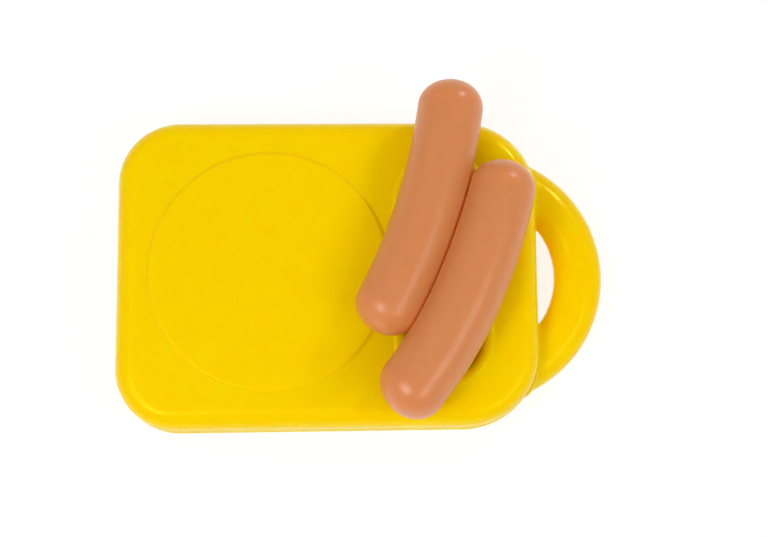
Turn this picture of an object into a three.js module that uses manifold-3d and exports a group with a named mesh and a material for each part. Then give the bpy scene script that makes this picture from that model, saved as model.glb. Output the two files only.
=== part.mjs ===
// A toy dish set: a blow-moulded serving tray whose ring handle is moulded in one piece with it,
// and two loose toy sausages that lie side by side across the oblong pocket in the tray's top.
// Lengths are millimetres. X runs along the tray to the handle, Y to the back, and Z up.
// The origin is the middle of the tray's flat underside.

import * as THREE from "three";
import { mergeVertices } from "three/addons/utils/BufferGeometryUtils.js";
import Module from "manifold-3d";

const wasm = await Module();
wasm.setup();

// Driving dimensions of the tray's body.
const trayLength = 180;
const trayWidth = 133.4; // at the far side
const handleSideWidth = 131.4; // the body narrows a little towards the handle
const trayHeight = 32;
const farCornerRadius = 26.5;
const handleCornerRadius = 32;
const topEdgeRadius = 8;
const bottomEdgeRadius = 5;
const wallDraft = 0.3; // how far the walls lean in, above and below the parting line
const partingHeight = 11; // of the line where the two halves of the mould meet

// Driving dimensions of what stands up from the top: the round pad and the pocket's rim.
const padHeight = 1;
const padEdgeWidth = 2; // of the soft step up to it
const discRadius = 52;
const discMargin = 13.4; // from the tray's far side to the disc

// Driving dimensions of the oblong pocket.
const pocketWidth = 43.5;
const pocketLength = 103;
const pocketMargin = 18.9; // from the tray's handle side to the pocket's rim
const pocketDepth = 12;
const rimLandWidth = 0.6;
const lipRadius = 4;
const pocketFloorRadius = 6;

// Driving dimensions of the ring handle.
const handleInnerRadius = 34.5;
const handleWidth = 20.6;
const handleThickness = 15;
const handleInset = 26.3; // from the tray's handle side in to the middle of the ring
const rootRadius = 2.5; // of the hollow turn where the ring swells into the wall
const rootTurnShare = 0.85; // how much of that turn shows before it meets the wall

// Driving dimensions of the sausages, which bend a little as they cool and lie turned to the right.
const rightSausage = {
  length: 116.2,
  frontRadius: 13.9,
  backRadius: 13.5,
  belly: 0.5, // how much fuller it is halfway along
  frontBendRadius: 171,
  backBendRadius: 285,
  turn: THREE.MathUtils.degToRad(23.5),
};
const leftSausage = {
  length: 112.6,
  frontRadius: 13.2,
  backRadius: 13.3,
  belly: 0.1,
  frontBendRadius: 245,
  backBendRadius: 255,
  turn: THREE.MathUtils.degToRad(17.8),
};
const bluntEndShare = 0.87; // how far each end reaches past its centre, as a share of its radius
const rightPlace = { x: 10.05, y: -12 }; // of its middle, from the middle of the pocket
const leftLead = 28.8; // how far the left sausage lies ahead of the right one, along itself

// Clearances and the overrun of cuts and joins.
const seatClearance = 0.3; // from a sausage to what it lies on
const sideClearance = 0.3; // between the two sausages
const overrun = 2;

// Fineness of the round surfaces: steps to each quarter turn or to the whole form.
const edgeSteps = 5;
const stepSteps = 6;
const cornerSteps = 12;
const endSteps = 24;
const discSteps = 96;
const handleSteps = 112;
const handleSectionSteps = 20;
const handleSweep = THREE.MathUtils.degToRad(150); // of the ring, with both ends inside the body
const capSteps = 7;
const sausageSectionSteps = 24;
const sausageLengthSteps = 14;
const centreLineSteps = 48;
const nestlingRounds = 8;

// Places worked out from the sizes above.
const rightAngle = Math.PI / 2;
const farSide = -trayLength / 2;
const handleSide = trayLength / 2;
const padTop = trayHeight + padHeight;
const discX = farSide + discMargin + discRadius;
const pocketX = handleSide - pocketMargin - pocketWidth / 2;
const handleX = handleSide - handleInset;

// A closed BufferGeometry as a solid that can be joined and cut.
function solidOf(geometry) {
  const bare = geometry.clone();
  bare.deleteAttribute("normal");
  bare.deleteAttribute("uv");
  const merged = mergeVertices(bare);
  return new wasm.Manifold(
    new wasm.Mesh({
      numProp: 3,
      vertProperties: merged.getAttribute("position").array,
      triVerts: new Uint32Array(merged.getIndex().array),
    }),
  );
}

// A solid as a BufferGeometry.
function geometryOf(solid) {
  const mesh = solid.getMesh();
  const geometry = new THREE.BufferGeometry();
  geometry.setAttribute("position", new THREE.BufferAttribute(mesh.vertProperties, 3));
  geometry.setIndex(new THREE.BufferAttribute(mesh.triVerts, 1));
  geometry.computeVertexNormals();
  return geometry;
}

// One level ring of points round an outline of arcs joined by straight sides, drawn in by an inset.
function levelRing(arcs, inset, height) {
  return arcs.flatMap(({ x, y, radius, start, sweep, steps }) =>
    Array.from({ length: steps + 1 }, (_, i) => {
      const angle = start + (sweep * i) / steps;
      const reach = radius - inset;
      return new THREE.Vector3(x + reach * Math.cos(angle), y + reach * Math.sin(angle), height);
    }),
  );
}

// A closed skin through rings of as many points each, with a flat end over the first and the last.
function skin(rings) {
  const count = rings[0].length;
  const faces = [];
  for (let ring = 1; ring < rings.length; ring += 1) {
    for (let i = 0; i < count; i += 1) {
      const next = (i + 1) % count;
      const low = (ring - 1) * count;
      const high = ring * count;
      faces.push(low + i, low + next, high + next);
      faces.push(low + i, high + next, high + i);
    }
  }
  const last = (rings.length - 1) * count;
  for (let i = 2; i < count; i += 1) {
    faces.push(0, i, i - 1);
    faces.push(last, last + i - 1, last + i);
  }
  const geometry = new THREE.BufferGeometry().setFromPoints(rings.flat());
  geometry.setIndex(faces);
  return geometry;
}

// The level rings of an outline that follows a profile of insets and heights, from the bottom up.
function loft(arcs, profile) {
  return profile.map(({ inset, height }) => levelRing(arcs, inset, height));
}

// A quarter turn of a profile that leaves its first point upright and meets its second level.
function roundOver(from, to) {
  return Array.from({ length: edgeSteps + 1 }, (_, i) => {
    const angle = (rightAngle * i) / edgeSteps;
    return {
      inset: from.inset + (to.inset - from.inset) * (1 - Math.cos(angle)),
      height: from.height + (to.height - from.height) * Math.sin(angle),
    };
  });
}

// A quarter turn of a profile that leaves its first point level and meets its second upright.
function roundUp(from, to) {
  return roundOver(to, from).reverse();
}

// A soft step up from the tray's top, level at its foot and at its head.
function softStep() {
  return Array.from({ length: stepSteps + 1 }, (_, i) => {
    const share = i / stepSteps;
    const riseShare = (1 - Math.cos(2 * rightAngle * share)) / 2;
    return { inset: padEdgeWidth * share, height: trayHeight + padHeight * riseShare };
  });
}

// The outline of the tray's body: four corners, with the pair at the handle rounder.
function trayOutline() {
  const corner = (sideX, sideY, radius, start) => ({
    x: sideX * (trayLength / 2 - radius),
    y: sideY * (trayWidth / 2 - radius),
    radius,
    start,
    sweep: rightAngle,
    steps: cornerSteps,
  });
  return [
    corner(1, 1, handleCornerRadius, 0),
    corner(-1, 1, farCornerRadius, rightAngle),
    corner(-1, -1, farCornerRadius, 2 * rightAngle),
    corner(1, -1, handleCornerRadius, 3 * rightAngle),
  ];
}

// The outline of the oblong pocket's rim: two round ends joined by straight sides.
function pocketOutline() {
  const end = (sideY, start) => ({
    x: pocketX,
    y: (sideY * (pocketLength - pocketWidth)) / 2,
    radius: pocketWidth / 2,
    start,
    sweep: 2 * rightAngle,
    steps: endSteps,
  });
  return [end(1, 0), end(-1, 2 * rightAngle)];
}

// How wide the body is at a place along it, as a share of its width at the far side.
function widthShare(x) {
  return 1 + (handleSideWidth / trayWidth - 1) * ((x - farSide) / trayLength);
}

// The body: a deep slab with rounded edges and walls that lean in from the parting line.
function trayBody() {
  const rings = loft(trayOutline(), [
    ...roundUp(
      { inset: wallDraft + bottomEdgeRadius, height: 0 },
      { inset: wallDraft, height: Math.min(bottomEdgeRadius, partingHeight) },
    ),
    { inset: 0, height: partingHeight },
    ...roundOver(
      { inset: wallDraft, height: trayHeight - topEdgeRadius },
      { inset: wallDraft + topEdgeRadius, height: trayHeight },
    ),
  ]);
  rings.flat().forEach((point) => {
    point.y *= widthShare(point.x);
  });
  return skin(rings);
}

// The round pad that stands up from the top.
function disc() {
  const profile = [
    new THREE.Vector2(0, trayHeight - overrun),
    new THREE.Vector2(discRadius, trayHeight - overrun),
    ...softStep().map(({ inset, height }) => new THREE.Vector2(discRadius - inset, height)),
    new THREE.Vector2(0, padTop),
  ];
  const geometry = new THREE.LatheGeometry(profile, discSteps);
  geometry.rotateX(rightAngle);
  geometry.translate(discX, 0, 0);
  return geometry;
}

// The raised oblong that carries the pocket's rim, before the pocket is sunk in it.
function pocketRim() {
  return skin(loft(pocketOutline(), [{ inset: 0, height: trayHeight - overrun }, ...softStep()]));
}

// The hollow of the pocket: a wide rounded lip, a steep wall and a round turn into the floor.
function pocketHollow() {
  const mouth = padEdgeWidth + rimLandWidth;
  const wall = mouth + lipRadius;
  const floor = padTop - pocketDepth;
  const floorRadius = Math.min(pocketFloorRadius, pocketDepth - lipRadius);
  const profile = [
    ...roundUp({ inset: wall + floorRadius, height: floor }, { inset: wall, height: floor + floorRadius }),
    ...roundOver({ inset: wall, height: padTop - lipRadius }, { inset: mouth, height: padTop }),
    { inset: mouth, height: padTop + overrun },
  ];
  return skin(loft(pocketOutline(), profile));
}

// How far the handle's ring swells at a point, so that it meets the wall in a hollow turn.
function rootSwell(x, y) {
  const beyondX = Math.max(x - (handleSide - handleCornerRadius), 0);
  const beyondY = Math.max(Math.abs(y) - (handleSideWidth / 2 - handleCornerRadius), 0);
  const fromWall = Math.hypot(beyondX, beyondY) - handleCornerRadius;
  const turnShare = THREE.MathUtils.clamp(1 - fromWall / rootRadius, 0, rootTurnShare);
  return rootRadius * (1 - Math.sqrt(1 - turnShare ** 2));
}

// The handle: an oval section swept clockwise round a ring at the height of the parting line.
function handleRing() {
  const halfWidth = handleWidth / 2;
  const centreRadius = handleInnerRadius + halfWidth;
  const oval = new THREE.EllipseCurve(0, 0, halfWidth, handleThickness / 2).getPoints(handleSectionSteps);
  oval.pop(); // the last point is the first one again
  const rings = Array.from({ length: handleSteps + 1 }, (_, i) => {
    const bearing = handleSweep * (1 / 2 - i / handleSteps);
    return oval.map((point) => {
      const reach = centreRadius + point.x;
      const swell = rootSwell(handleX + reach * Math.cos(bearing), reach * Math.sin(bearing));
      const grown = point.clone().setLength(point.length() + swell);
      const grownReach = centreRadius + grown.x;
      return new THREE.Vector3(
        handleX + grownReach * Math.cos(bearing),
        grownReach * Math.sin(bearing),
        partingHeight + grown.y,
      );
    });
  });
  return skin(rings);
}

// The tray: body, pad, pocket and handle as the one hollow moulding that they are.
function trayGeometry() {
  const tray = solidOf(trayBody())
    .add(solidOf(disc()))
    .add(solidOf(pocketRim()))
    .subtract(solidOf(pocketHollow()))
    .add(solidOf(handleRing()));
  return geometryOf(tray);
}

// Where the centres of a sausage's blunt round ends lie along it, before it is bent.
function endCentres(form) {
  return {
    front: bluntEndShare * form.frontRadius - form.length / 2,
    back: form.length / 2 - bluntEndShare * form.backRadius,
  };
}

// A sausage's radius at a share of the way from its front end's centre to its back end's.
function radiusAt(form, share) {
  const taper = form.frontRadius + (form.backRadius - form.frontRadius) * share;
  return taper + 4 * form.belly * share * (1 - share);
}

// A point of a sausage, ahead of its middle and aside to its outer side, once it is bent. Its
// front and back halves bend on arcs of their own, which meet in the middle without a kink.
function bentPoint(form, ahead, aside) {
  const bendRadius = ahead < 0 ? form.frontBendRadius : form.backBendRadius;
  const bend = ahead / bendRadius;
  const reach = bendRadius + aside;
  return new THREE.Vector2(reach * Math.cos(bend) - bendRadius, reach * Math.sin(bend));
}

// A sausage along Y that bulges to +X, with its middle at its own origin and its underside level.
function sausageGeometry(form) {
  const { front, back } = endCentres(form);
  const straightLength = back - front;
  const geometry = new THREE.CapsuleGeometry(
    form.frontRadius,
    straightLength,
    capSteps,
    sausageSectionSteps,
    sausageLengthSteps,
  );
  const position = geometry.getAttribute("position");
  for (let i = 0; i < position.count; i += 1) {
    const share = THREE.MathUtils.clamp(position.getY(i) / straightLength + 1 / 2, 0, 1);
    const pastEndCentre = position.getY(i) - straightLength * (share - 1 / 2);
    const radius = radiusAt(form, share);
    const swell = radius / form.frontRadius;
    const ahead = front + straightLength * share + bluntEndShare * pastEndCentre * swell;
    const bent = bentPoint(form, ahead, position.getX(i) * swell);
    position.setXYZ(i, bent.x, bent.y, radius + position.getZ(i) * swell);
  }
  geometry.computeVertexNormals();
  return geometry;
}

// Points on the centre line of a sausage that lies at a place, each with its radius there.
function centreLine(form, place) {
  const { front, back } = endCentres(form);
  return Array.from({ length: centreLineSteps + 1 }, (_, i) => {
    const share = i / centreLineSteps;
    const point = bentPoint(form, front + (back - front) * share, 0);
    point.rotateAround(new THREE.Vector2(), -form.turn).add(place);
    return { point, radius: radiusAt(form, share) };
  });
}

// The least clearance between two sausages, from their centre lines.
function leastClearance(lineA, lineB) {
  const clearances = lineA.flatMap((a) =>
    lineB.map((b) => a.point.distanceTo(b.point) - a.radius - b.radius),
  );
  return Math.min(...clearances);
}

// Where the left sausage comes to rest when it is slid sideways against the right one.
function nestledPlace(rightMiddle) {
  const { turn } = leftSausage;
  const ahead = new THREE.Vector2(Math.sin(turn), Math.cos(turn));
  const aside = new THREE.Vector2(-Math.cos(turn), Math.sin(turn));
  const rightLine = centreLine(rightSausage, rightMiddle);
  let sideStep = rightSausage.frontRadius + leftSausage.frontRadius;
  let place = rightMiddle;
  for (let round = 0; round < nestlingRounds; round += 1) {
    place = rightMiddle.clone().addScaledVector(ahead, leftLead).addScaledVector(aside, sideStep);
    sideStep += sideClearance - leastClearance(rightLine, centreLine(leftSausage, place));
  }
  return place;
}

const yellowPlastic = new THREE.MeshStandardMaterial({ color: 0xf3c505, roughness: 0.3, metalness: 0 });
const sausagePlastic = new THREE.MeshStandardMaterial({ color: 0xd58a57, roughness: 0.4, metalness: 0 });

function namedMesh(name, geometry, material) {
  const mesh = new THREE.Mesh(geometry, material);
  mesh.name = name;
  return mesh;
}

// A sausage in its place on the pocket's rim.
function lyingSausage(name, form, place) {
  const sausage = namedMesh(name, sausageGeometry(form), sausagePlastic);
  sausage.position.set(place.x, place.y, padTop + seatClearance);
  sausage.rotation.z = -form.turn;
  return sausage;
}

const rightMiddle = new THREE.Vector2(pocketX + rightPlace.x, rightPlace.y);

const dishSet = new THREE.Group();
dishSet.add(namedMesh("serving_tray", trayGeometry(), yellowPlastic));
dishSet.add(lyingSausage("right_sausage", rightSausage, rightMiddle));
dishSet.add(lyingSausage("left_sausage", leftSausage, nestledPlace(rightMiddle)));

export default dishSet;
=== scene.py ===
import math

import bmesh
import bpy
from mathutils import Matrix, Vector


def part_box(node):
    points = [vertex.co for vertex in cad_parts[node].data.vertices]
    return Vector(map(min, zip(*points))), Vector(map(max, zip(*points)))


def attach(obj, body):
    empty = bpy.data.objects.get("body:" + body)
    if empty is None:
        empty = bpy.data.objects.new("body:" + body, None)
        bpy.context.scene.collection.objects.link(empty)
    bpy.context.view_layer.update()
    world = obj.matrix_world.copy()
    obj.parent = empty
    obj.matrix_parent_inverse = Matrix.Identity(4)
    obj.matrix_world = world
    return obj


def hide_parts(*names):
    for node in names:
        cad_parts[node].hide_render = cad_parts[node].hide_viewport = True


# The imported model, which says where every piece lies, and its box before it is dressed. The scene
# is in metres, so a size in millimetres is a number times mm.
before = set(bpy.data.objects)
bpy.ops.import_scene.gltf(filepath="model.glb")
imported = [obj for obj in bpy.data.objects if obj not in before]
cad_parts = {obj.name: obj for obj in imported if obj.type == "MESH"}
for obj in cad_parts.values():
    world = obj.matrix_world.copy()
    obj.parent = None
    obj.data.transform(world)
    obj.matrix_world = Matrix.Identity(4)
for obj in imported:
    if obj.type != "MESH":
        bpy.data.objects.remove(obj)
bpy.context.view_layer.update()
mm = 0.001


# Serving tray, body
# One deep hollow slab of yellow polyethylene, blow moulded between two mould halves. The walls
# lean in a little from the parting line, where the mould leaves a fine raised seam all round.
tray_length = 180 * mm
tray_width = 133.4 * mm
handle_side_width = 131.4 * mm
tray_height = 32 * mm
far_corner_radius = 26.5 * mm
handle_corner_radius = 32 * mm
corner_segments = 40
top_edge_radius = 8 * mm
top_edge_segments = 14
bottom_edge_radius = 5 * mm
bottom_edge_segments = 10
wall_draft = 0.3 * mm
parting_height = 11 * mm
seam_reach = 0.15 * mm
seam_half_width = 0.3 * mm
half_length = tray_length / 2 - seam_reach
half_width = tray_width / 2 - seam_reach


def grown_parts(grown):
    """The new points and the new edges of an extrusion."""
    verts = [part for part in grown["geom"] if isinstance(part, bmesh.types.BMVert)]
    edges = [part for part in grown["geom"] if isinstance(part, bmesh.types.BMEdge)]
    return verts, edges


def raise_wall(shape, edges, rise, lean):
    """Extrudes the outline up by rise while it leans in by lean, and returns the new outline."""
    verts, edges = grown_parts(bmesh.ops.extrude_edge_only(shape, edges=edges))
    bmesh.ops.translate(shape, vec=(0, 0, rise), verts=verts)
    bmesh.ops.scale(shape, vec=(1 - lean / half_length, 1 - lean / half_width, 1), verts=verts)
    return edges


tray_shape = bmesh.new()
bmesh.ops.create_grid(tray_shape, x_segments=1, y_segments=1, size=1)
bmesh.ops.scale(tray_shape, vec=(half_length, half_width, 1), verts=tray_shape.verts)
for side, radius in ((-1, far_corner_radius), (1, handle_corner_radius)):
    corner_verts = [v for v in tray_shape.verts if v.co.x * side > 0]
    bmesh.ops.bevel(tray_shape, geom=corner_verts, offset=radius, offset_type="OFFSET",
                    affect="VERTICES", segments=corner_segments, profile=0.5, material=-1)
bmesh.ops.delete(tray_shape, geom=tray_shape.faces[:], context="FACES_ONLY")
outline = tray_shape.edges[:]
bmesh.ops.translate(tray_shape, vec=(0, 0, parting_height), verts=tray_shape.verts)
bmesh.ops.scale(tray_shape, vec=(1 + seam_reach / half_length, 1 + seam_reach / half_width, 1),
                verts=tray_shape.verts)
upper = raise_wall(tray_shape, outline, seam_half_width, seam_reach)
upper = raise_wall(tray_shape, upper, tray_height - parting_height - seam_half_width, wall_draft)
lower = raise_wall(tray_shape, outline, -seam_half_width, seam_reach)
lower = raise_wall(tray_shape, lower, seam_half_width - parting_height, wall_draft)
for rim, radius, segments in ((upper, top_edge_radius, top_edge_segments),
                              (lower, bottom_edge_radius, bottom_edge_segments)):
    bmesh.ops.edgeloop_fill(tray_shape, edges=rim)
    bmesh.ops.bevel(tray_shape, geom=rim, offset=radius, offset_type="OFFSET", affect="EDGES",
                    segments=segments, profile=0.5, material=-1)
for vert in tray_shape.verts:
    length_share = vert.co.x / tray_length + 1 / 2
    vert.co.y *= 1 + (handle_side_width / tray_width - 1) * length_share
bmesh.ops.recalc_face_normals(tray_shape, faces=tray_shape.faces)


# Serving tray, top
# A round pad stands up from the top by a millimetre with a soft step. Beside it a rim of the same
# height runs round the oblong pocket, whose lip rolls over into a deep trough.
pad_height = 1 * mm
pad_edge_width = 2 * mm
pad_edge_steps = 12
disc_radius = 52 * mm
disc_margin = 13.4 * mm
disc_segments = 192
pocket_width = 43.5 * mm
pocket_length = 103 * mm
pocket_margin = 18.9 * mm
pocket_depth = 12 * mm
pocket_segments = 128
rim_land_width = 0.6 * mm
lip_radius = 4 * mm
pocket_floor_radius = 6 * mm
disc_x = disc_margin + disc_radius - tray_length / 2
pocket_x = tray_length / 2 - pocket_margin - pocket_width / 2
pocket_end_y = (pocket_length - pocket_width) / 2


def quarter_turn(start, end, leaves_upright):
    """Points (inset, height) on a quarter turn that leaves its start upright, or else level."""
    steps = 8
    points = []
    for step in range(1, steps + 1):
        angle = math.pi / 2 * step / steps
        slow, fast = 1 - math.cos(angle), math.sin(angle)
        along, up = (slow, fast) if leaves_upright else (fast, slow)
        points.append((start[0] + (end[0] - start[0]) * along, start[1] + (end[1] - start[1]) * up))
    return points


def foot_loop(shape, centre_x, end_y, radius, segments):
    """A level loop on the tray's top: a circle whose two halves stand end_y from the middle."""
    half_step = Matrix.Rotation(math.pi / segments, 4, "Z")
    place = Matrix.Translation((centre_x, 0, tray_height)) @ half_step
    circle = bmesh.ops.create_circle(shape, cap_ends=False, segments=segments, radius=radius, matrix=place)
    verts = circle["verts"]
    for side in (-1, 1):
        end = [v for v in verts if v.co.y * side > 0]
        bmesh.ops.translate(shape, vec=(0, side * end_y, 0), verts=end)
    return list({edge for v in verts for edge in v.link_edges})


def follow_profile(shape, edges, centre_x, end_y, radius, profile):
    """Extrudes a loop through a profile of insets and heights, and closes it with a flat face."""
    inset, height = 0, tray_height
    for next_inset, next_height in profile:
        verts, edges = grown_parts(bmesh.ops.extrude_edge_only(shape, edges=edges))
        bmesh.ops.translate(shape, vec=(0, 0, next_height - height), verts=verts)
        factor = (radius - next_inset) / (radius - inset)
        for side in (-1, 1):
            end = [v for v in verts if v.co.y * side > 0]
            middle = Matrix.Translation((-centre_x, -side * end_y, 0))
            bmesh.ops.scale(shape, vec=(factor, factor, 1), verts=end, space=middle)
        inset, height = next_inset, next_height
    bmesh.ops.edgeloop_fill(shape, edges=edges)


just_below_top = tray_height - seam_reach / 10
top_face = next(f for f in tray_shape.faces if min(v.co.z for v in f.verts) > just_below_top)
top_outline = top_face.edges[:]
bmesh.ops.delete(tray_shape, geom=[top_face], context="FACES_ONLY")
disc_foot = foot_loop(tray_shape, disc_x, 0, disc_radius, disc_segments)
pocket_foot = foot_loop(tray_shape, pocket_x, pocket_end_y, pocket_width / 2, pocket_segments)
bmesh.ops.triangle_fill(tray_shape, use_beauty=True, use_dissolve=False,
                        edges=top_outline + disc_foot + pocket_foot, normal=(0, 0, 1))
pad_top = tray_height + pad_height
step_shares = [step / pad_edge_steps for step in range(1, pad_edge_steps + 1)]
pad_edge = [(pad_edge_width * share, tray_height + pad_height * (1 - math.cos(math.pi * share)) / 2)
            for share in step_shares]
mouth = pad_edge_width + rim_land_width
wall = mouth + lip_radius
floor_height = pad_top - pocket_depth
lip = quarter_turn((mouth, pad_top), (wall, pad_top - lip_radius), False)
wall_foot = (wall, floor_height + pocket_floor_radius)
turn_in = quarter_turn(wall_foot, (wall + pocket_floor_radius, floor_height), True)
follow_profile(tray_shape, disc_foot, disc_x, 0, disc_radius, pad_edge)
follow_profile(tray_shape, pocket_foot, pocket_x, pocket_end_y, pocket_width / 2,
               [*pad_edge, (mouth, pad_top), *lip, wall_foot, *turn_in])
bmesh.ops.recalc_face_normals(tray_shape, faces=tray_shape.faces)


# Serving tray, ring handle
# A hollow ring of soft oval section, moulded in one with the body at the height of the parting
# line. It carries the seam round its outside and inside, and swells where it runs into the wall.
handle_inner_radius = 34.5 * mm
handle_width = 20.6 * mm
handle_thickness = 15 * mm
handle_inset = 26.3 * mm
handle_segments = 64
handle_steps = 260
root_radius = 2.5 * mm
fullest_root_share = 0.85
ring_radius = handle_inner_radius + handle_width / 2
handle_x = tray_length / 2 - handle_inset
handle_sweep = math.radians(150)


def cut_beside_seam(shape, reach, edge_height):
    """Cuts a shape along both edges of its seam, which lies level in the middle at height 0."""
    for height in (-edge_height, edge_height):
        everything = shape.verts[:] + shape.edges[:] + shape.faces[:]
        bmesh.ops.bisect_plane(shape, geom=everything, dist=reach / 100, plane_co=(0, 0, height),
                               plane_no=(0, 0, 1))


ring_shape = bmesh.new()
section = bmesh.ops.create_circle(ring_shape, cap_ends=False, segments=handle_segments, radius=1)["verts"]
bmesh.ops.scale(ring_shape, vec=(handle_width / 2 - seam_reach, handle_thickness / 2, 1), verts=section)
bmesh.ops.rotate(ring_shape, cent=(0, 0, 0), matrix=Matrix.Rotation(math.pi / 2, 3, "X"), verts=section)
bmesh.ops.translate(ring_shape, vec=(ring_radius, 0, 0), verts=section)
bmesh.ops.rotate(ring_shape, cent=(0, 0, 0), matrix=Matrix.Rotation(-handle_sweep / 2, 3, "Z"), verts=section)
bmesh.ops.spin(ring_shape, geom=ring_shape.edges[:], cent=(0, 0, 0), axis=(0, 0, 1), dvec=(0, 0, 0),
               angle=handle_sweep, steps=handle_steps, use_merge=False, use_duplicate=False)
cut_beside_seam(ring_shape, seam_reach, seam_half_width)

# The seam stands out between the two cuts, on the ring's outer and inner sides.
for vert in ring_shape.verts:
    reach = vert.co.xy.length
    if abs(vert.co.z) < seam_reach / 10:
        outward = 1 if reach > ring_radius else -1
        vert.co.xy *= (reach + outward * seam_reach) / reach
bmesh.ops.translate(ring_shape, vec=(handle_x, 0, parting_height), verts=ring_shape.verts)

# Near the body's wall and its round corners the section swells, as a rounded inner edge would.
for vert in ring_shape.verts:
    beyond_x = vert.co.x - (tray_length / 2 - handle_corner_radius)
    beyond_y = abs(vert.co.y) - (handle_side_width / 2 - handle_corner_radius)
    from_wall = math.hypot(max(beyond_x, 0), max(beyond_y, 0)) - handle_corner_radius
    root_share = min(max(1 - from_wall / root_radius, 0), fullest_root_share)
    swell = root_radius * (1 - math.sqrt(1 - root_share ** 2))
    bearing = Vector((vert.co.x - handle_x, vert.co.y, 0)).normalized()
    centre = Vector((handle_x, 0, parting_height)) + bearing * ring_radius
    vert.co += (vert.co - centre).normalized() * swell
bmesh.ops.holes_fill(ring_shape, edges=[e for e in ring_shape.edges if e.is_boundary], sides=0)
bmesh.ops.recalc_face_normals(ring_shape, faces=ring_shape.faces)


# Serving tray, moulded in one
# Body and handle leave the mould as one closed shell. The polyethylene is glossy with a faint orange
# peel, sinks a little between its edges as it cools, and has fine scuffs on the raised pad and rim.
sharp_angle = math.radians(40)
light_yellow = (0.95, 0.668, 0, 1)
deep_yellow = (0.94, 0.65, 0, 1)
yellow_sheen = (1, 0.85, 0.05, 1)
yellow_sheen_level = 0.35
yellow_glow_shares = (1, 0.2, 0.02)
yellow_glow_reach = 4 * mm
sink_grain = 30 * mm
sink_depth = 0.5 * mm
cloud_grain = 9 * mm
peel_grain = 0.9 * mm
peel_depth = 0.012 * mm
scuff_grain = 0.35 * mm
scuff_depth = 0.006 * mm
scuff_stretch = (1, 0.03, 0.3)
scuff_turns = (math.radians(38), math.radians(-64))
low_scuff_share = 0.15
scuff_roughness = 0.2
wall_roughness = 0.3
polish_range = (0.17, 0.24)
wall_top = tray_height - top_edge_radius
wall_blend_below = 3 * mm
wall_blend_above = 2 * mm
handle_blend = 3 * mm
noise_range = (0.3, 0.7)
scuff_noise_range = (0.69, 0.76)


def finished_piece(name, shape, material):
    """An object of a finished shape, smooth and in its material."""
    mesh = bpy.data.meshes.new(name)
    shape.to_mesh(mesh)
    shape.free()
    mesh.shade_smooth()
    mesh.materials.append(material)
    piece = bpy.data.objects.new(name, mesh)
    bpy.context.scene.collection.objects.link(piece)
    return piece


def new_material(name):
    """A new material, its node tree and its shader."""
    material = bpy.data.materials.new(name)
    material.use_nodes = True
    return material, material.node_tree, material.node_tree.nodes["Principled BSDF"]


def turned_coordinates(tree, turn, scale):
    """The piece's own coordinates, turned about Z and stretched by a scale."""
    place = tree.nodes.new("ShaderNodeTexCoord")
    mapping = tree.nodes.new("ShaderNodeMapping")
    mapping.inputs["Rotation"].default_value = (0, 0, turn)
    mapping.inputs["Scale"].default_value = scale
    tree.links.new(place.outputs["Object"], mapping.inputs["Vector"])
    return mapping.outputs["Vector"]


def noise(tree, coordinates, grain, detail):
    """Noise whose patches are about as wide as the grain."""
    texture = tree.nodes.new("ShaderNodeTexNoise")
    texture.inputs["Scale"].default_value = 1 / grain
    texture.inputs["Detail"].default_value = detail
    tree.links.new(coordinates, texture.inputs["Vector"])
    return texture.outputs["Fac"]


def remap(tree, value, source_range, target_range):
    """A value stretched from one range to another, and held within it."""
    node = tree.nodes.new("ShaderNodeMapRange")
    tree.links.new(value, node.inputs["Value"])
    node.inputs["From Min"].default_value, node.inputs["From Max"].default_value = source_range
    node.inputs["To Min"].default_value, node.inputs["To Max"].default_value = target_range
    return node.outputs["Result"]


def combine(tree, operation, first, second):
    """Two values joined by a sum, a product or the larger of both."""
    node = tree.nodes.new("ShaderNodeMath")
    node.operation = operation
    tree.links.new(first, node.inputs[0])
    tree.links.new(second, node.inputs[1])
    return node.outputs["Value"]


def mix_colours(tree, share, first, second):
    """Mixes a colour, constant or from another node, with a constant one."""
    node = tree.nodes.new("ShaderNodeMix")
    node.data_type = "RGBA"
    tree.links.new(share, node.inputs["Factor"])
    if isinstance(first, bpy.types.NodeSocket):
        tree.links.new(first, node.inputs["A"])
    else:
        node.inputs["A"].default_value = first
    node.inputs["B"].default_value = second
    return node.outputs["Result"]


def bump(tree, height, depth, below=None):
    """Relief of a depth in metres, laid over another relief."""
    node = tree.nodes.new("ShaderNodeBump")
    node.inputs["Distance"].default_value = depth
    tree.links.new(height, node.inputs["Height"])
    if below:
        tree.links.new(below, node.inputs["Normal"])
    return node.outputs["Normal"]


def scuffs(tree, turn):
    """Fine straight marks in one direction, 0 on clean plastic and 1 on a mark."""
    long_marks = turned_coordinates(tree, turn, scuff_stretch)
    return remap(tree, noise(tree, long_marks, scuff_grain, detail=1), scuff_noise_range, (0, 1))


yellow_plastic, tree, shader = new_material("yellow_polyethylene")
plain = turned_coordinates(tree, 0, (1, 1, 1))
sinks = noise(tree, plain, sink_grain, detail=1)
cloud = noise(tree, plain, cloud_grain, detail=3)
peel = noise(tree, plain, peel_grain, detail=2)
separate = tree.nodes.new("ShaderNodeSeparateXYZ")
tree.links.new(plain, separate.inputs["Vector"])
raised = remap(tree, separate.outputs["Z"], (tray_height, pad_top), (low_scuff_share, 1))
marks = combine(tree, "MAXIMUM", *[scuffs(tree, turn) for turn in scuff_turns])
marks = combine(tree, "MULTIPLY", marks, raised)
yellow = mix_colours(tree, remap(tree, cloud, noise_range, (0, 1)), light_yellow, deep_yellow)
tree.links.new(yellow, shader.inputs["Base Color"])
wall_end_range = (wall_top - wall_blend_below, wall_top + wall_blend_above)
body_end_range = (tray_length / 2, tray_length / 2 + handle_blend)
on_wall = remap(tree, separate.outputs["Z"], wall_end_range, (wall_roughness, 0))
on_body = remap(tree, separate.outputs["X"], body_end_range, (1, 0))
dull_wall = combine(tree, "MULTIPLY", on_wall, on_body)
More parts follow.
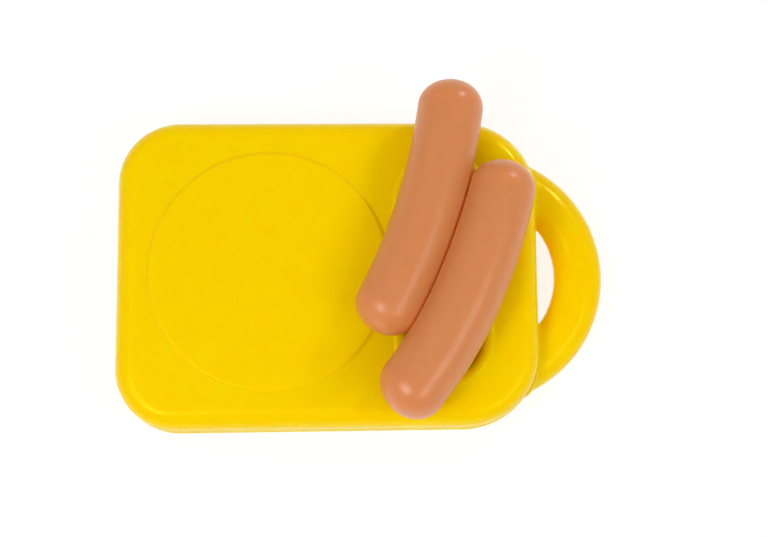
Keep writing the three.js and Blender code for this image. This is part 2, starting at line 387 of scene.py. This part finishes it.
polish = remap(tree, cloud, noise_range, polish_range)
scuffed = remap(tree, marks, (0, 1), (0, scuff_roughness))
roughness = combine(tree, "ADD", polish, scuffed)
roughness = combine(tree, "ADD", roughness, dull_wall)
tree.links.new(roughness, shader.inputs["Roughness"])
relief = bump(tree, sinks, sink_depth)
relief = bump(tree, peel, peel_depth, relief)
relief = bump(tree, marks, -scuff_depth, relief)
tree.links.new(relief, shader.inputs["Normal"])
shader.inputs["Specular IOR Level"].default_value = yellow_sheen_level
shader.inputs["Specular Tint"].default_value = yellow_sheen
shader.inputs["Subsurface Weight"].default_value = 1
shader.inputs["Subsurface Radius"].default_value = yellow_glow_shares
shader.inputs["Subsurface Scale"].default_value = yellow_glow_reach

tray_piece = finished_piece("serving_tray_moulding", tray_shape, yellow_plastic)
ring_piece = finished_piece("ring_handle", ring_shape, yellow_plastic)
join = tray_piece.modifiers.new("join_handle", "BOOLEAN")
join.operation = "UNION"
join.solver = "EXACT"
join.object = ring_piece
bpy.context.view_layer.objects.active = tray_piece
bpy.ops.object.modifier_apply(modifier=join.name)
bpy.data.objects.remove(ring_piece)

# The join leaves many-sided faces at the handle's roots. They, the tray's large flat faces and the
# four-sided faces beside them become triangles here, so that none folds over in the export.
joined = bmesh.new()
joined.from_mesh(tray_piece.data)
many_sided_verts = {vert for face in joined.faces if len(face.verts) > 4 for vert in face.verts}
split_faces = [face for face in joined.faces
               if len(face.verts) > 3 and many_sided_verts.intersection(face.verts)]
bmesh.ops.triangulate(joined, faces=split_faces, quad_method="BEAUTY", ngon_method="BEAUTY")
joined.to_mesh(tray_piece.data)
joined.free()
tray_piece.data.set_sharp_from_angle(angle=sharp_angle)
flat_faces = tray_piece.modifiers.new("flat_faces", "WEIGHTED_NORMAL")
flat_faces.keep_sharp = True
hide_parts("serving_tray")
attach(tray_piece, "tray")


# Play sausages
# Two loose hollow blow mouldings of salmon plastic, bent as they cooled, with a fine seam along the
# middle. Their thin skins flatten a little where they lean on each other, and a painted glow lies there.
left_turn = math.radians(-17.8)
left_length = 112.4 * mm
left_front_radius = 13.2 * mm
left_back_radius = 13.3 * mm
left_belly = 0.1 * mm
left_bend_radii = (245 * mm, 255 * mm)
right_turn = math.radians(-23.5)
right_length = 116 * mm
right_front_radius = 13.9 * mm
right_back_radius = 13.5 * mm
right_belly = 0.5 * mm
right_bend_radii = (171 * mm, 285 * mm)
blunt_end_share = 0.87
extra_half_width = 0.4 * mm
lean_in = 0.2 * mm
contact_gap = 0.03 * mm
axis_steps = 96
round_segments = 72
end_segments = 47
lengthwise_cuts = 60
sausage_seam_reach = 0.08 * mm
sausage_seam_half_width = 0.3 * mm
light_salmon = (0.64, 0.265, 0.094, 1)
deep_salmon = (0.615, 0.248, 0.086, 1)
# A lighter, redder colour painted near the contact as a painted glow in the shaded crease; it fades out over
# the reach below.
painted_glow_salmon = (0.95, 0.38, 0.125, 1)
painted_glow_reach = 3.5 * mm
salmon_sheen_level = 0.5
salmon_glow_shares = (1, 0.25, 0.1)
salmon_glow_reach = 16 * mm
salmon_roughness_range = (0.29, 0.37)
lump_grain = 22 * mm
lump_depth = 0.35 * mm
patch_grain = 7 * mm
patch_share = 0.6
skin_grain = 0.8 * mm
skin_depth = 0.014 * mm
flow_grain = 3 * mm
flow_turn = math.radians(22)
flow_stretch = (1, 0.12, 1)
flow_noise_range = (0.35, 0.65)


def straight_sausage(radius, straight):
    """A tube along Y with round ends and a fine seam at its middle height, and points on its axis."""
    shape = bmesh.new()
    upright = Matrix.Rotation(math.pi / 2, 4, "X")
    bmesh.ops.create_uvsphere(shape, u_segments=round_segments, v_segments=end_segments, radius=radius,
                              matrix=upright)
    for side in (-1, 1):
        end = [v for v in shape.verts if v.co.y * side > 0]
        bmesh.ops.translate(shape, vec=(0, side * straight / 2, 0), verts=end)
    long_edges = [e for e in shape.edges if e.calc_length() > straight]
    bmesh.ops.subdivide_edges(shape, edges=long_edges, cuts=lengthwise_cuts, use_grid_fill=True)
    cut_beside_seam(shape, sausage_seam_reach, sausage_seam_half_width)
    for vert in shape.verts:
        if abs(vert.co.z) < sausage_seam_reach / 10:
            axis_y = max(-straight / 2, min(straight / 2, vert.co.y))
            outward = (vert.co - Vector((0, axis_y, 0))).normalized()
            vert.co += outward * sausage_seam_reach
    axis = []
    for step in range(axis_steps + 1):
        along = (0, straight * (step / axis_steps - 1 / 2), 0)
        axis += bmesh.ops.create_vert(shape, co=along)["vert"]
    return shape, axis


def bent_sausage(length, front_radius, back_radius, belly, bend_radii):
    """A sausage that bulges to +X, each half bent on an arc of its own, and points on its axis."""
    front = blunt_end_share * front_radius - length / 2
    straight = length / 2 - blunt_end_share * back_radius - front
    shape, axis = straight_sausage(front_radius - sausage_seam_reach, straight)
    for vert in shape.verts:
        share = min(max(vert.co.y / straight + 1 / 2, 0), 1)
        local_radius = front_radius + (back_radius - front_radius) * share
        local_radius += 4 * belly * share * (1 - share)
        swell = local_radius / front_radius
        past_end = vert.co.y - straight * (share - 1 / 2)
        ahead = front + straight * share + blunt_end_share * past_end * swell
        bend_radius = bend_radii[0] if ahead < 0 else bend_radii[1]
        bend = ahead / bend_radius
        reach = bend_radius + vert.co.x * swell * (1 + extra_half_width / front_radius)
        vert.co.x = reach * math.cos(bend) - bend_radius
        vert.co.y = reach * math.sin(bend)
        vert.co.z = local_radius + vert.co.z * swell
    return shape, axis


def lay_in_place(shape, name, turn, lean):
    """Turns a sausage, moves it into its node's box, and lets it lean towards the other."""
    bmesh.ops.transform(shape, matrix=Matrix.Rotation(turn, 4, "Z"), verts=shape.verts)
    low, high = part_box(name)
    shape_low = Vector([min(vert.co[i] for vert in shape.verts) for i in range(3)])
    shape_high = Vector([max(vert.co[i] for vert in shape.verts) for i in range(3)])
    aside = Matrix.Rotation(turn, 3, "Z") @ Vector((lean, 0, 0))
    bmesh.ops.translate(shape, vec=(low + high - shape_low - shape_high) / 2 + aside, verts=shape.verts)


def lift_out_axis(shape, axis):
    """Takes the axis points out of a sausage's shape, and returns their places."""
    centres = [vert.co.copy() for vert in axis]
    bmesh.ops.delete(shape, geom=axis, context="VERTS")
    return centres


def flatten_contact(shape, own_axis, other_axis):
    """Flattens a sausage where it presses on the other, on the wall halfway between their skins."""
    for vert in shape.verts:
        other = min(other_axis, key=lambda centre: (centre.xy - vert.co.xy).length)
        own = min(own_axis, key=lambda centre: (centre.xy - other.xy).length)
        nearest = ((own.xy - other.xy).length + other.z - own.z + contact_gap) / 2
        away = vert.co.xy - other.xy
        vert.co.xy = other.xy + away * max(nearest / away.length, 1)


def mark_painted_glow_share(shape, other_axis, rest_height):
    """Writes onto each point how close the other sausage's skin is, 1 touching and 0 out of reach; the
    painted glow in the crease follows this share.
    """
    closeness = shape.verts.layers.float.new("closeness")
    for vert in shape.verts:
        other = min(other_axis, key=lambda centre: (centre - vert.co).length)
        gap = (vert.co - other).length - (other.z - rest_height)
        vert[closeness] = max(1 - max(gap, 0) / painted_glow_reach, 0)


salmon_plastic, tree, shader = new_material("salmon_plastic")
plain = turned_coordinates(tree, 0, (1, 1, 1))
lumps = noise(tree, plain, lump_grain, detail=1)
patches = noise(tree, plain, patch_grain, detail=3)
skin = noise(tree, plain, skin_grain, detail=2)
flow = noise(tree, turned_coordinates(tree, flow_turn, flow_stretch), flow_grain, detail=2)
patch_tone = remap(tree, patches, noise_range, (0, patch_share))
flow_tone = remap(tree, flow, flow_noise_range, (0, 1 - patch_share))
tone = combine(tree, "ADD", patch_tone, flow_tone)
salmon = mix_colours(tree, tone, light_salmon, deep_salmon)

# Where the sausages are close, a lighter and redder colour is painted on: a painted glow that stands in for
# light in the shaded crease between them.
closeness = tree.nodes.new("ShaderNodeAttribute")
closeness.attribute_name = "closeness"
salmon_with_painted_glow = mix_colours(tree, closeness.outputs["Fac"], salmon, painted_glow_salmon)
tree.links.new(salmon_with_painted_glow, shader.inputs["Base Color"])

tree.links.new(remap(tree, patches, noise_range, salmon_roughness_range), shader.inputs["Roughness"])
relief = bump(tree, lumps, lump_depth)
relief = bump(tree, skin, skin_depth, relief)
tree.links.new(relief, shader.inputs["Normal"])
shader.inputs["Specular IOR Level"].default_value = salmon_sheen_level
shader.inputs["Subsurface Weight"].default_value = 1
shader.inputs["Subsurface Radius"].default_value = salmon_glow_shares
shader.inputs["Subsurface Scale"].default_value = salmon_glow_reach

left_shape, left_axis = bent_sausage(left_length, left_front_radius, left_back_radius, left_belly,
                                     left_bend_radii)
right_shape, right_axis = bent_sausage(right_length, right_front_radius, right_back_radius, right_belly,
                                       right_bend_radii)
lay_in_place(left_shape, "left_sausage", left_turn, lean_in)
lay_in_place(right_shape, "right_sausage", right_turn, -lean_in)
left_axis = lift_out_axis(left_shape, left_axis)
right_axis = lift_out_axis(right_shape, right_axis)
flatten_contact(left_shape, left_axis, right_axis)
flatten_contact(right_shape, right_axis, left_axis)
rest_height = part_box("right_sausage")[0].z
mark_painted_glow_share(left_shape, right_axis, rest_height)
mark_painted_glow_share(right_shape, left_axis, rest_height)
for name, shape in (("left_sausage", left_shape), ("right_sausage", right_shape)):
    sausage_piece = finished_piece(name + "_moulding", shape, salmon_plastic)
    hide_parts(name)
    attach(sausage_piece, name + "_body")


# Table and backdrop
# A plain white light table that goes on past the picture, lit a little from beneath, in a plain
# room with warm white walls.
table_reach = 60
table_grey = (0.22, 0.22, 0.22, 1)
table_roughness = 0.6
table_glow = (1, 1, 1, 1)
table_glow_strength = 0.8
room_colour = (1, 0.92, 0.8, 1)
room_strength = 0.46

table = bmesh.new()
bmesh.ops.create_grid(table, x_segments=1, y_segments=1, size=table_reach)
table_material, tree, shader = new_material("white_table")
shader.inputs["Base Color"].default_value = table_grey
shader.inputs["Roughness"].default_value = table_roughness
shader.inputs["Emission Color"].default_value = table_glow
shader.inputs["Emission Strength"].default_value = table_glow_strength
table_piece = finished_piece("table", table, table_material)

world = bpy.data.worlds.new("warm_white_room")
bpy.context.scene.world = world
world.use_nodes = True
world.node_tree.nodes["Background"].inputs["Color"].default_value = room_colour
world.node_tree.nodes["Background"].inputs["Strength"].default_value = room_strength


# Lamps
# A large softbox above on the left gives most of the light. Small ones in front and behind light the
# sausages' ends and the edges, and a wide one on the right draws the long streaks on the sausages.

# Name, bearing and elevation in degrees, distance, width and height in metres, and power in watts.
softboxes = (
    ("overhead_softbox", 212, 60, 1.3, 0.8, 0.8, 5.6),
    ("front_left_softbox", 223, 54, 1.2, 0.2, 0.2, 2),
    ("front_right_softbox", -32, 46, 1.2, 0.8, 0.3, 2.7),
    ("back_right_softbox", 48, 33, 1.2, 0.1, 0.2, 2.5),
)
for name, bearing, elevation, distance, width, height, power in softboxes:
    lamp = bpy.data.lights.new(name, "AREA")
    lamp.shape = "RECTANGLE"
    lamp.size = width
    lamp.size_y = height
    lamp.energy = power
    fixture = bpy.data.objects.new(name, lamp)
    bpy.context.scene.collection.objects.link(fixture)
    bearing, elevation = math.radians(bearing), math.radians(elevation)
    towards = Vector((math.cos(elevation) * math.cos(bearing), math.cos(elevation) * math.sin(bearing),
                      math.sin(elevation)))
    fixture.location = towards * distance
    fixture.rotation_mode = "QUATERNION"
    fixture.rotation_quaternion = towards.to_track_quat("Z", "Y")


# Camera
# It looks down on the tray from 70 cm, leans a little to the front and is turned by half a degree.
# The sensor's width and the lens's length are in millimetres, as in the camera's own settings.
sensor_width = 36
lens_length = 74.06
camera_distance = 700 * mm
camera_aim = (24.38 * mm, 6.2 * mm, 0)
camera_lean = math.radians(9.72)
camera_roll = math.radians(-0.5)

camera_data = bpy.data.cameras.new("camera")
camera_data.sensor_width = sensor_width
camera_data.lens = lens_length
camera = bpy.data.objects.new("camera", camera_data)
bpy.context.scene.collection.objects.link(camera)
lean = Matrix.Rotation(camera_lean, 4, "X")
roll = Matrix.Rotation(camera_roll, 4, "Z")
aim = Matrix.Translation(camera_aim)
camera.matrix_world = aim @ lean @ roll @ Matrix.Translation((0, 0, camera_distance))
bpy.context.scene.camera = camera
bpy.context.scene.view_settings.view_transform = "Standard"
